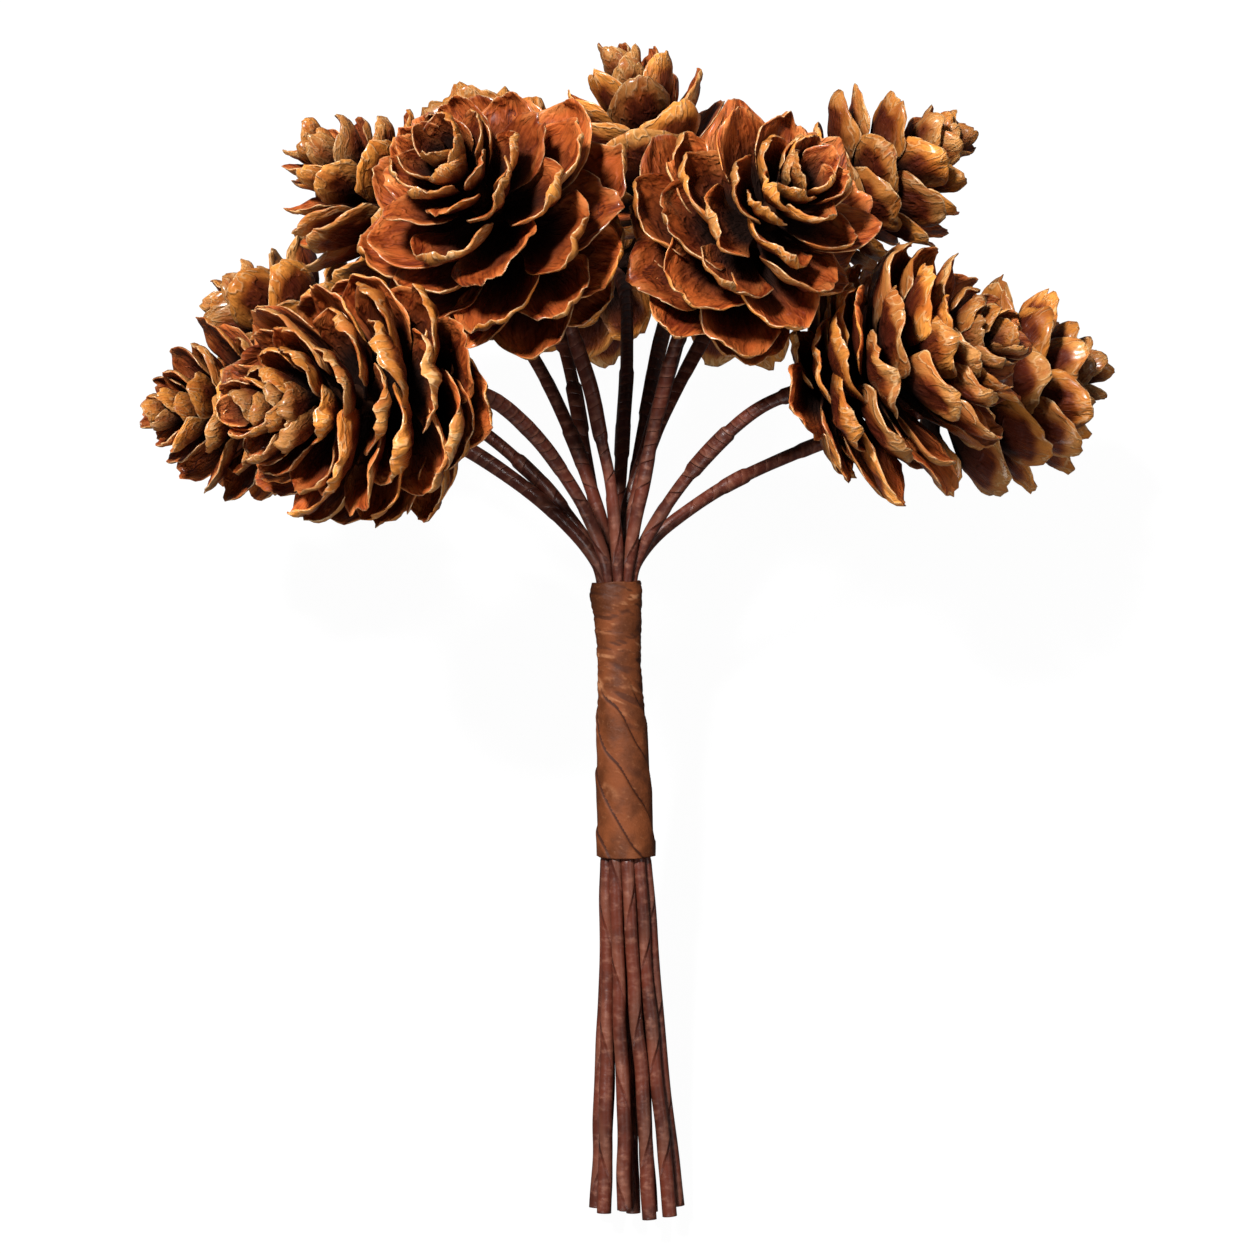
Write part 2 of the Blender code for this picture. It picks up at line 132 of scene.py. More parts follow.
# Finds the bunch's own frame from the top rim of the binding's solid
def layBunch():
    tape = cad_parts["binding_tape"]
    spots = {tuple(round(c, 7) for c in tape.matrix_world @ v.co) for v in tape.data.vertices}
    tilt = Matrix.Rotation(bunch["tilt"], 4, "X")
    along = tilt.to_3x3() @ (bunch["bindingTop"] - bunch["bindingFoot"]).normalized()
    top = max(Vector(spot).dot(along) for spot in spots)
    rim = [Vector(spot) for spot in spots if Vector(spot).dot(along) > top - 0.02 * mm]
    middle = sum(rim, Vector()) / len(rim)
    return Matrix.Translation(middle - tilt @ bunch["bindingTop"]) @ tilt


lay = layBunch()
print("bunch laid at", [round(c / mm, 2) for c in lay.translation], "mm")


def leanDirection(turn, lean):
    turn, lean = math.radians(turn), math.radians(lean)
    return Vector((math.sin(lean) * math.cos(turn), math.cos(lean), math.sin(lean) * math.sin(turn)))


# Works out a cone's place in metres from its entry in the book
def placeCone(entry):
    axis = leanDirection(entry["turn"], entry["lean"])
    centre = Vector(entry["middle"]) * mm + Vector((0, bunch["gatherY"], 0))
    base = centre - axis * (0.5 * entry["length"] * mm)
    side = axis.orthogonal().normalized()
    turned = Matrix((side, axis.cross(side), axis)).transposed().to_4x4()
    return dict(entry, axis=axis, centre=centre, base=base,
                frame=Matrix.Translation(base) @ turned)


cones = {name: placeCone(entry) for name, entry in coneBook.items()}


def movedBy(matrix, points):
    grid = np.array(matrix)
    return points @ grid[:3, :3].T + grid[:3, 3]


def makeMesh(name, points, faces, layers, material):
    mesh = bpy.data.meshes.new(name)
    mesh.from_pydata(points.tolist(), [], faces)
    for layer, values in layers.items():
        domain = "POINT" if len(values) == len(points) else "CORNER"
        mesh.attributes.new(layer, "FLOAT", domain).data.foreach_set("value", values)
    mesh.shade_smooth()
    mesh.materials.append(material)
    piece = bpy.data.objects.new(name, mesh)
    bpy.context.scene.collection.objects.link(piece)
    return piece


# Node helpers for the materials; a finish without a roughness gets it from its own nodes
def startMaterial(name, finish):
    material = bpy.data.materials.new(name)
    material.use_nodes = True
    tree = material.node_tree
    skin = tree.nodes["Principled BSDF"]
    skin.inputs["Specular IOR Level"].default_value = finish["specular"]
    if "roughness" in finish:
        skin.inputs["Roughness"].default_value = finish["roughness"]
    return material, tree, skin


def layerOf(tree, name):
    node = tree.nodes.new("ShaderNodeAttribute")
    node.attribute_name = name
    return node.outputs["Fac"]


def mathOf(tree, kind, first, second=0.0):
    node = tree.nodes.new("ShaderNodeMath")
    node.operation = kind
    for socket, value in zip(node.inputs, (first, second)):
        if isinstance(value, (int, float)):
            socket.default_value = value
        else:
            tree.links.new(value, socket)
    return node.outputs[0]


def spreadOf(tree, value, low, high, start=0.0, end=1.0):
    node = tree.nodes.new("ShaderNodeMapRange")
    node.interpolation_type = "SMOOTHSTEP"
    node.inputs["From Min"].default_value = low
    node.inputs["From Max"].default_value = high
    node.inputs["To Min"].default_value = start
    node.inputs["To Max"].default_value = end
    tree.links.new(value, node.inputs["Value"])
    return node.outputs["Result"]


def vectorOf(tree, *parts):
    node = tree.nodes.new("ShaderNodeCombineXYZ")
    for socket, value in zip(node.inputs, parts):
        if isinstance(value, (int, float)):
            socket.default_value = value
        else:
            tree.links.new(value, socket)
    return node.outputs[0]


def noiseOf(tree, vector, scale, detail=4.0, roughness=0.55):
    node = tree.nodes.new("ShaderNodeTexNoise")
    node.inputs["Scale"].default_value = scale
    node.inputs["Detail"].default_value = detail
    node.inputs["Roughness"].default_value = roughness
    tree.links.new(vector, node.inputs["Vector"])
    return node.outputs["Fac"]


def objectPlace(tree):
    return tree.nodes.new("ShaderNodeTexCoord").outputs["Object"]


def blendOf(tree, share, first, second, kind="MIX"):
    node = tree.nodes.new("ShaderNodeMix")
    node.data_type = "RGBA"
    node.blend_type = kind
    sockets = (node.inputs[0], node.inputs[6], node.inputs[7])
    for socket, value in zip(sockets, (share, first, second)):
        if isinstance(value, (int, float)):
            socket.default_value = value
        elif isinstance(value, tuple):
            socket.default_value = (*value, 1.0)
        else:
            tree.links.new(value, socket)
    return node.outputs[2]


# Bumps lie on each other in turn, each a height, a strength and a depth
def addBump(tree, skin, *bumps):
    normal = None
    for height, strength, distance in bumps:
        node = tree.nodes.new("ShaderNodeBump")
        node.inputs["Strength"].default_value = strength
        node.inputs["Distance"].default_value = distance
        tree.links.new(height, node.inputs["Height"])
        if normal is not None:
            tree.links.new(normal, node.inputs["Normal"])
        normal = node.outputs["Normal"]
    tree.links.new(normal, skin.inputs["Normal"])


# Scale finish: red-brown inside, golden outside, pale margin (partly wear, partly painted
# highlight), painted shade nearly black at the root
scaleFinish = {
    "innerDeep": (0.170, 0.023, 0.005),
    "innerWarm": (0.600, 0.134, 0.027),
    "innerPale": (0.780, 0.300, 0.090),
    "outerAmber": (0.440, 0.102, 0.014),
    "outerGold": (0.860, 0.335, 0.062),
    "outerKhaki": (0.590, 0.270, 0.078),
    # outerPlum is the outer face's plum-brown, also used for dark specks and ribs and for painted
    # shade towards the root
    "outerPlum": (0.095, 0.016, 0.007),
    # margin is the pale colour of the scale's edge, also laid on as painted highlight
    "margin": (0.880, 0.600, 0.310),
    # root is the near-black colour of painted shade deep between the scales
    "root": (0.013, 0.0035, 0.0014),
    "dimmest": (0.54, 0.47, 0.43),
    "brightest": (1.16, 1.12, 1.06),
    "specular": 0.12,
    "coat": (0.15, 0.72),
    "coatRoughness": 0.24,
    "crumpleDepth": 0.9 * mm,
    "ridgeDepth": 0.28 * mm,
    "grainDepth": 0.30 * mm,
    "fineDepth": 0.12 * mm,
    "poreDepth": 0.05 * mm,
}


def scaleMaterial():
    look = scaleFinish
    material, tree, skin = startMaterial("coneScale", look)
    along, across, rim, edge, inner, tint = (
        layerOf(tree, layer) for layer in ("along", "across", "rim", "edge", "inner", "tint")
    )
    seed = mathOf(tree, "MULTIPLY", tint, 41.0)
    grainPlace = vectorOf(tree, mathOf(tree, "MULTIPLY", across, 5.0),
                          mathOf(tree, "MULTIPLY", along, 1.1), seed)
    grain = noiseOf(tree, grainPlace, 3.2, 6.0, 0.62)
    fine = noiseOf(tree, grainPlace, 11.0, 5.0, 0.65)
    cloudPlace = vectorOf(tree, mathOf(tree, "MULTIPLY", across, 1.1),
                          mathOf(tree, "MULTIPLY", along, 1.6), seed)
    cloud = noiseOf(tree, cloudPlace, 1.9, 3.0, 0.5)
    crumple = noiseOf(tree, cloudPlace, 4.2, 3.0, 0.5)
    swirl = noiseOf(tree, cloudPlace, 2.7, 2.0, 0.45)
    ridge = mathOf(tree, "ABSOLUTE", mathOf(tree, "SUBTRACT", swirl, 0.5))
    hue = mathOf(tree, "FRACT", mathOf(tree, "MULTIPLY", tint, 7.3))
    # inner face
    streak = mathOf(tree, "ADD", mathOf(tree, "MULTIPLY", grain, 0.45),
                    mathOf(tree, "MULTIPLY", cloud, 0.55))
    inside = blendOf(tree, spreadOf(tree, streak, 0.36, 0.58), look["innerDeep"], look["innerWarm"])
    paleShare = mathOf(tree, "MULTIPLY", spreadOf(tree, cloud, 0.42, 0.72),
                      spreadOf(tree, edge, 0.10, 0.80, 0.0, 0.65))
    inside = blendOf(tree, paleShare, inside, look["innerPale"])
    # a thin dark rib down the inner face of about half of them
    bowed = mathOf(tree, "ADD", across, spreadOf(tree, cloud, 0.3, 0.7, -0.22, 0.22))
    rib = spreadOf(tree, mathOf(tree, "ABSOLUTE", bowed), 0.045, 0.012)
    for share in (spreadOf(tree, fine, 0.40, 0.52), spreadOf(tree, hue, 0.50, 0.56),
                  spreadOf(tree, along, 0.94, 0.84)):
        rib = mathOf(tree, "MULTIPLY", rib, share)
    inside = blendOf(tree, rib, inside, look["outerPlum"])
    # outer face
    goldShare = mathOf(tree, "MULTIPLY", spreadOf(tree, edge, 0.08, 0.66, 0.04, 1.0),
                      spreadOf(tree, cloud, 0.32, 0.58, 0.30, 1.0))
    gold = blendOf(tree, spreadOf(tree, hue, 0.2, 0.8), look["outerKhaki"], look["outerGold"])
    outside = blendOf(tree, goldShare, look["outerAmber"], gold)
    amberShare = spreadOf(tree, fine, 0.50, 0.80, 0.0, 0.35)
    outside = blendOf(tree, amberShare, outside, look["outerAmber"])
    # painted highlight: pale margin colour along the bump's ridges on the outer face, where they
    # would catch the light
    paintedRidgeGlint = mathOf(tree, "MULTIPLY", spreadOf(tree, ridge, 0.035, 0.005),
                    spreadOf(tree, edge, 0.2, 0.7, 0.0, 0.5))
    outside = blendOf(tree, paintedRidgeGlint, outside, look["margin"])
    # the outer face turns plum-brown away from its margin: partly the scale's own colour, partly
    # painted shade where the next scale covers it
    plumShare = mathOf(tree, "MULTIPLY", spreadOf(tree, edge, 0.44, 0.04),
                      spreadOf(tree, streak, 0.36, 0.54, 0.50, 1.0))
    outside = blendOf(tree, plumShare, outside, look["outerPlum"])
    # both faces: each scale's own tint, specks, a pale margin that is partly wear and partly painted
    # highlight, and painted shade towards the root
    tone = blendOf(tree, inner, outside, inside)
    tinted = blendOf(tree, tint, look["dimmest"], look["brightest"])
    tone = blendOf(tree, 1.0, tone, tinted, "MULTIPLY")
    specks = spreadOf(tree, noiseOf(tree, cloudPlace, 9.0, 3.0, 0.7), 0.64, 0.74, 0.0, 0.6)
    tone = blendOf(tree, specks, tone, look["outerPlum"])
    # the pale margin in broken dots: partly wear, partly painted highlight
    wearAndGlint = mathOf(tree, "MULTIPLY", spreadOf(tree, crumple, 0.44, 0.60, 0.05, 1.0),
                 spreadOf(tree, inner, 0.0, 1.0, 1.0, 0.30))
    wearAndGlint = mathOf(tree, "MULTIPLY", wearAndGlint, spreadOf(tree, fine, 0.38, 0.56, 0.30, 1.0))
    rimShare = mathOf(tree, "MULTIPLY", spreadOf(tree, rim, 0.70, 1.0), wearAndGlint)
    tone = blendOf(tree, rimShare, tone, look["margin"])
    # painted shade: both faces darken to plum and then near black towards the root, where each scale
    # lies deep under its neighbours
    tone = blendOf(tree, spreadOf(tree, along, 0.99, 0.60, 0.0, 0.60), tone, look["outerPlum"])
    tone = blendOf(tree, spreadOf(tree, along, 0.82, 0.36), tone, look["root"])
    tree.links.new(tone, skin.inputs["Base Color"])
    sheen = mathOf(tree, "ADD", spreadOf(tree, fine, 0.3, 0.7, 0.22, 0.40),
                  spreadOf(tree, inner, 0.0, 1.0, 0.0, 0.12))
    sheen = mathOf(tree, "ADD", sheen, spreadOf(tree, along, 0.80, 0.40, 0.0, 0.40))
    tree.links.new(sheen, skin.inputs["Roughness"])
    gloss = mathOf(tree, "MULTIPLY", spreadOf(tree, along, 0.50, 0.90),
                   spreadOf(tree, crumple, 0.40, 0.60, *look["coat"]))
    tree.links.new(gloss, skin.inputs["Coat Weight"])
    skin.inputs["Coat Roughness"].default_value = look["coatRoughness"]
    pores = noiseOf(tree, objectPlace(tree), 1600, 3.0)
    addBump(tree, skin, (crumple, 0.6, look["crumpleDepth"]),
            (spreadOf(tree, ridge, 0.07, 0.0), 0.5, look["ridgeDepth"]),
            (grain, 0.5, look["grainDepth"]), (fine, 0.6, look["fineDepth"]),
            (pores, 0.25, look["poreDepth"]))
    return material


coreFinish = {
    "deep": (0.016, 0.005, 0.002),
    "light": (0.060, 0.020, 0.008),
    "roughness": 0.85,
    "specular": 0.1,
    "grainDepth": 0.2 * mm,
}


def coreMaterial():
    look = coreFinish
    material, tree, skin = startMaterial("coneCore", look)
    grain = noiseOf(tree, objectPlace(tree), 700)
    tone = blendOf(tree, spreadOf(tree, grain, 0.35, 0.7), look["deep"], look["light"])
    tree.links.new(tone, skin.inputs["Base Color"])
    addBump(tree, skin, (grain, 0.6, look["grainDepth"]))
    return material


# One scale: its shares of the cone's size, then the ranges that single scales are drawn from.
# The three "play" pairs are degrees of disorder at the base of the cone and at its tip
scaleForm = {
    "coreShare": 0.76,
    "ease": 1.1,
    "flare": 8,
    "rootRadius": 0.6 * mm,
    "reach": 0.51,
    "width": 0.36,
    "claw": 0.28,
    "tipSize": 0.42,
    "tipRound": 0.30,
    "thick": 0.36 * mm,
    "rimThin": 0.32,
    "rimWidth": 0.7 * mm,
    "edgeWidth": 3.2 * mm,
    "rowsAlong": 16,
    "rowsAcross": {"large": 22, "small": 14},
    "largeFrom": 32,
    "golden": math.radians(137.508),
    "roll": 0.9,
    "inwardShare": 0.84,
    "turnPlay": (7, 15),
    "openPlay": (4, 10),
    "twistPlay": (11, 22),
    "lengthRange": (0.88, 1.06),
    "widthRange": (0.84, 1.14),
    "bendRange": (26, 48),
    "tipRollRange": (16, 92),
    "cupRange": (0.05, 0.42),
    "creaseRange": (-0.05, 0.14),
    "sideRollRange": (0.05, 0.34),
    "foldRange": (0.02, 0.08),
    "ragged": 0.022,
    "teeth": 0.007,
    "notch": 0.09,
    "wavy": 0.06,
    "ripple": 0.022,
    "dent": 0.055,
    "clearance": 0.3 * mm,
    "tablePress": 0.05 * mm,
    "clearing": (("shorten", 8), ("close", 10), ("shorten", 24)),
    "shorten": 0.96,
    "narrow": 0.98,
    "close": math.radians(4),
}


def drawScale(rng, cone, index):
    form = scaleForm
    share = (index + 0.5) / cone["scales"]
    fullness = mix(0.72, 1.0, float(smoothStep(0, 0.22, share)))
    tipSize = cone.get("tipSize", form["tipSize"])
    fullness *= mix(1.0, tipSize, float(smoothStep(0.38, 1.0, share)))
    longest = cone["spread"] * mm * form["reach"]
    breadth = mix(0.90, 1.0, float(smoothStep(0, 0.2, share)))
    breadth *= mix(1.0, 0.9 * tipSize, float(smoothStep(0.34, 0.96, share)))
    opening = mix(cone["open"][0], cone["open"][1], share ** cone.get("ease", form["ease"]))
    opening += cone.get("flare", form["flare"]) * float(smoothStep(0.10, 0.0, share))
    inward = rng.random() < form["inwardShare"]
    roll = cone.get("roll", form["roll"])
    rollShare = -1 if inward else 0.6
    sideShare = -1 if inward else 1
    loose = float(smoothStep(0.3, 1.0, share))
    turnOff = math.radians(rng.uniform(-1, 1) * mix(*form["turnPlay"], loose))
    return {
        "height": cone["length"] * mm * form["coreShare"] * mix(0.02, 0.94, share**1.12),
        "azimuth": index * form["golden"] + turnOff,
        "opening": math.radians(opening + rng.uniform(-1, 1) * mix(*form["openPlay"], loose)),
        "length": longest * fullness * rng.uniform(*form["lengthRange"]),
        "halfWidth": longest * form["width"] * breadth * rng.uniform(*form["widthRange"]),
        "twist": math.radians(rng.uniform(-1, 1) * mix(*form["twistPlay"], loose)),
        "bend": math.radians(rng.uniform(*form["bendRange"])),
        "tipRoll": math.radians(rng.uniform(*form["tipRollRange"]) * roll * rollShare),
        "cup": rng.uniform(*form["cupRange"]),
        "crease": rng.uniform(*form["creaseRange"]),
        "sideRoll": rng.uniform(*form["sideRollRange"]) * roll * sideShare,
        "fold": rng.uniform(*form["foldRange"]),
        "tint": rng.uniform(0, 1),
        "seed": int(rng.integers(1, 10**6)),
    }


# A scale's middle surface in its cone's frame; u runs from root to tip and v from side to side
def scaleSheet(scale, u, v):
    form = scaleForm
    rng = np.random.default_rng(scale["seed"])
    # a torn end with a notch in it
    ragged = form["ragged"] * rippleField(rng, v, 0 * v, 7.0, 0.0, 6)
    notch = rng.uniform(-0.7, 0.7)
    ragged = ragged - rng.uniform(0.0, form["notch"]) * np.exp(-((v - notch) / 0.13) ** 2)
    ragged = ragged + form["teeth"] * rippleField(rng, v, 0 * v, 21.0, 0.0, 3)
    along = u * (1 - form["tipRound"] * np.abs(v) ** 2.6 + ragged * smoothStep(0.5, 1.0, u))
    # its profile, bent along its length and rolled at its tip
    steps = np.linspace(0, 1.12, 57)
    angle = scale["opening"] + scale["bend"] * (0.45 - steps)
    angle = angle + scale["tipRoll"] * smoothStep(0.78, 1.02, steps)
    stride = scale["length"] * (steps[1] - steps[0])
    radii = form["rootRadius"] + np.concatenate(([0], np.cumsum(np.sin(angle[:-1]) * stride)))
    heights = scale["height"] + np.concatenate(([0], np.cumsum(np.cos(angle[:-1]) * stride)))
    radius = np.interp(along, steps, radii)
    height = np.interp(along, steps, heights)
    here = np.interp(along, steps, angle)
    spread = mix(form["claw"], 1.0, smoothStep(0.10, 0.68, along))
    spread = spread * mix(1.0, 0.80, smoothStep(0.80, 1.0, along))
    wavy = 1 + form["wavy"] * rippleField(rng, along, np.sign(v), 9.0, 2.0)
    half = scale["halfWidth"] * spread * wavy
    side = v * half
    # its relief: cup, rolled sides, crease, folds, rippled margin and dents
    lift = scale["cup"] * half * v**2 * mix(1.0, 0.6, along)
    rolled = scale["sideRoll"] * half * smoothStep(0.62, 1.1, np.abs(v))
    lift = lift - rolled * smoothStep(0.35, 0.9, along)
    crease = np.exp(-((v - 0.15 * np.sin(5 * along)) / 0.22) ** 2)
    lift = lift - scale["crease"] * half * crease * smoothStep(0.2, 0.8, along)
    folds = scale["fold"] * scale["halfWidth"] * rippleField(rng, v, along, 3.4, 5.0, 4)
    lift = lift + folds * smoothStep(0.25, 0.9, along)
    margin = smoothStep(0.72, 1.0, np.maximum(u, np.abs(v))) * smoothStep(0.3, 0.6, u)
    ripples = rippleField(rng, v, along, 15.0, 17.0, 3)
    lift = lift + form["ripple"] * scale["halfWidth"] * margin * ripples
    dents = 1 - 2 * np.abs(rippleField(rng, v, along, 4.6, 7.5, 3))
    lift = lift + form["dent"] * scale["halfWidth"] * dents * smoothStep(0.40, 0.85, along)
    # twisted about its middle line, and wrapped round the core
    twist = scale["twist"] * along
    cosine, sine = np.cos(twist), np.sin(twist)
    side, lift = side * cosine - lift * sine, side * sine + lift * cosine
    hug = np.maximum(radius, 0.9 * scale["halfWidth"])
    radius = radius - hug * (1 - np.cos(side / hug)) - np.cos(here) * lift
    height = height + np.sin(here) * lift
    side = hug * np.sin(side / hug)
    turn = scale["azimuth"]
    return np.stack((
        radius * math.cos(turn) - side * math.sin(turn),
        radius * math.sin(turn) + side * math.cos(turn),
        height,
    ), axis=-1)


# Planes that part a cone from its neighbours and from the surface it lies on
def wallsRound(cone):
    walls = []
    reach = cone["spread"] * mm / 2
    for other in cones.values():
        if other is cone:
            continue
        way = other["centre"] - cone["centre"]
        distance = way.length
        share = (distance**2 + reach**2 - (other["spread"] * mm / 2) ** 2) / (2 * distance)
        normal = way.normalized()
        walls.append((cone["centre"] + normal * (share - scaleForm["clearance"]), normal))
    down = Vector((0, -math.sin(bunch["tilt"]), -math.cos(bunch["tilt"])))
    walls.append((down * (bunch["lift"] - scaleForm["thick"] / 2 + scaleForm["tablePress"]), down))
    return walls


# Places on a scale that are tried against the walls
testU, testV = np.meshgrid((0.3, 0.55, 0.8, 1.0), (-1.0, -0.5, 0.0, 0.5, 1.0), indexing="ij")


def reachesPast(scale, cone, walls):
    spots = movedBy(cone["frame"], scaleSheet(scale, testU, testV).reshape(-1, 3))
    return any(((spots - np.array(foot)) @ np.array(normal)).max() > 0 for foot, normal in walls)


# A scale is shortened, then closed, then shortened more, until it stays within every wall
def bendClear(scale, cone, walls):
    for change, times in scaleForm["clearing"]:
        for _ in range(times):
            if not reachesPast(scale, cone, walls):
                return
            if change == "shorten":
                scale["length"] *= scaleForm["shorten"]
                scale["halfWidth"] *= scaleForm["narrow"]
            else:
                scale["opening"] -= scaleForm["close"]


# Gives a sheet its thickness: inner face, outer face and the strip between them round the margin
def thickenSheet(sheet, thickness):
    rows, columns = sheet.shape[:2]
    downU = np.gradient(sheet, axis=0)
    downV = np.gradient(sheet, axis=1)
    normal = np.cross(downU, downV)
    normal /= np.maximum(np.linalg.norm(normal, axis=-1, keepdims=True), 1e-12)
    half = normal * thickness[..., None] / 2
    points = np.concatenate(((sheet + half).reshape(-1, 3), (sheet - half).reshape(-1, 3)))
    index = np.arange(rows * columns).reshape(rows, columns)
    a, b, c, d = index[:-1, :-1], index[1:, :-1], index[1:, 1:], index[:-1, 1:]
    front = np.stack((a, b, c, d), axis=-1).reshape(-1, 4)
    back = np.stack((a, d, c, b), axis=-1).reshape(-1, 4) + rows * columns
    loop = np.concatenate((index[0, :], index[1:, -1], index[-1, -2::-1], index[-2:0:-1, 0]))
    after = np.roll(loop, -1)
    strip = np.stack((loop, after, after + rows * columns, loop + rows * columns), axis=-1)
    return points, np.concatenate((front, back, strip))


# Rows crowd towards the tip and the sides, where a scale bends most
def scaleGrid(cone):
    size = "large" if cone["spread"] > scaleForm["largeFrom"] else "small"
    across = np.linspace(-1, 1, scaleForm["rowsAcross"][size] + 1)
    across = mix(across, np.sin(across * math.pi / 2), 0.55)
    along = np.linspace(0, 1, scaleForm["rowsAlong"] + 1) ** 0.72
    return np.meshgrid(along, across, indexing="ij")


def buildCone(name, cone, scaleSkin, coreSkin):
    rng = np.random.default_rng(cone["seed"])
    walls = wallsRound(cone)
    u, v = scaleGrid(cone)
    size = u.size
    faceMark = np.repeat((1.0, 0.0), size)  # 1 on inner faces
    points, faces = [], []
    layers = {"along": [], "across": [], "rim": [], "edge": [], "inner": [], "tint": []}
    for index in range(cone["scales"]):
        scale = drawScale(rng, cone, index)
        bendClear(scale, cone, walls)
        inset = np.minimum((1 - u) * scale["length"], (1 - np.abs(v)) * scale["halfWidth"])
        # near the root the pale margin stays off, both its wear and its painted highlight
        inset = inset + 9 * mm * smoothStep(0.5, 0.2, u)  # no worn margin near the root
        rim = np.clip(1 - inset / scaleForm["rimWidth"], 0, 1)
        edge = np.clip(1 - inset / scaleForm["edgeWidth"], 0, 1)
        thickness = scaleForm["thick"] * mix(1.0, scaleForm["rimThin"], rim)
        sheetPoints, sheetFaces = thickenSheet(scaleSheet(scale, u, v), thickness)
        points.append(sheetPoints)
        faces.append(sheetFaces + 2 * size * index)
        for layer, values in (("along", u), ("across", v), ("rim", rim), ("edge", edge)):
            layers[layer].append(np.tile(values.ravel(), 2))
        layers["inner"].append(faceMark)
        layers["tint"].append(np.full(2 * size, scale["tint"]))
    points = movedBy(lay, movedBy(cone["frame"], np.concatenate(points)))
    layers = {layer: np.concatenate(values) for layer, values in layers.items()}
    scales = makeMesh(name + "_scales", points, np.concatenate(faces).tolist(), layers, scaleSkin)
    for piece in (scales, buildCore(name, cone, coreSkin)):
        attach(piece, "root")
        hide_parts(name)


coreForm = {
    "radius": 2.2 * mm,
    "baseRadius": 1.1 * mm,
    "tipShare": 0.5,
    "unevenness": 0.06,
    "sides": 20,
    "rings": 14,
}


def buildCore(name, cone, material):
    length = cone["length"] * mm * scaleForm["coreShare"]
    rng = np.random.default_rng(cone["seed"] + 5)
    share = np.linspace(0, 1, coreForm["rings"] + 1)[:, None]
    turn = np.linspace(0, math.tau, coreForm["sides"], endpoint=False)[None, :]
    radius = mix(coreForm["baseRadius"], coreForm["radius"], smoothStep(0, 0.22, share))
    radius = radius * mix(1.0, coreForm["tipShare"], smoothStep(0.3, 1.0, share))
    bumps = rippleField(rng, np.sin(turn) * 2, share * 8, 2.0, 2.0)
    radius = radius * (1 + coreForm["unevenness"] * bumps)
    height = share * length + 0 * turn
    local = np.stack((radius * np.cos(turn), radius * np.sin(turn), height), axis=-1)
    points = movedBy(lay @ cone["frame"], local.reshape(-1, 3))
    sides = coreForm["sides"]
    faces = [
        (ring * sides + i, ring * sides + (i + 1) % sides,
         (ring + 1) * sides + (i + 1) % sides, (ring + 1) * sides + i)
        for ring in range(coreForm["rings"]) for i in range(sides)
    ]
    faces.append(tuple(range(sides - 1, -1, -1)))
    faces.append(tuple(coreForm["rings"] * sides + i for i in range(sides)))
    return makeMesh(name + "_core", points, faces, {}, material)


# Stems: their routes as the solids have them, ten in a ring round three, then how the tape lies.
# endRises has how far each stem's cut end stands back from the lowest, in mm, slot by slot
stemForm = {
    "radius": 0.85 * mm,
    "radiusCut": 0.94 * mm,
    "radiusBound": 0.57 * mm,
    "radiusSeat": 1.0 * mm,
    "seatGrowth": 1.08,
    "hemSpread": 0.28 * mm,
    "pitch": 1.28 * mm,
    "ring": 10,
    "ringTurn": 14,
    "heart": 3,
    "heartTurn": 150,
    "splayX": 2.5,
    "splayZ": 1.68,
    "endTurn": math.radians(14),
    "endShift": 1.9 * mm,
    "endRises": (1.2, 0.2, 0.0, 1.2, 0.6, 1.0, 0.7, 0.3, 0.3, 0.4, 0.7, 0.1, 0.5),
    "footSteps": 25,
    "boundSteps": 20,
    "fanSteps": 40,
    "swing": 0.85,
    "neck": 2.5 * mm,
    "riseLow": 0.6,
    "riseHigh": 1.15,
    "flare": 0.16,
    "seatGap": 0.05 * mm,
    "wander": 0.24 * mm,
    "fanGrowth": 1.12,
    "levels": (0.86, 1.20),
    "levelEvery": (3.5, 9),
    "unevenness": 0.03,
    "tapePitch": 14.0 * mm,
    "tapePitchFan": 1.5 * mm,
    "sides": 14,
    "ringsPerMm": 2.2,
    "smoothing": 6,
    "firstSeed": 900,
}


# Each stem's place in the binding, in stem widths from its middle
def stemSlots():
    slots = []
    for circle in ("ring", "heart"):
        count = stemForm[circle]
        radius = 0.5 / math.sin(math.pi / count)
        for i in range(count):
            angle = math.radians(stemForm[circle + "Turn"] + 360 / count * i)
            slots.append(Vector((math.cos(angle), 0, math.sin(angle))) * radius)
    return slots


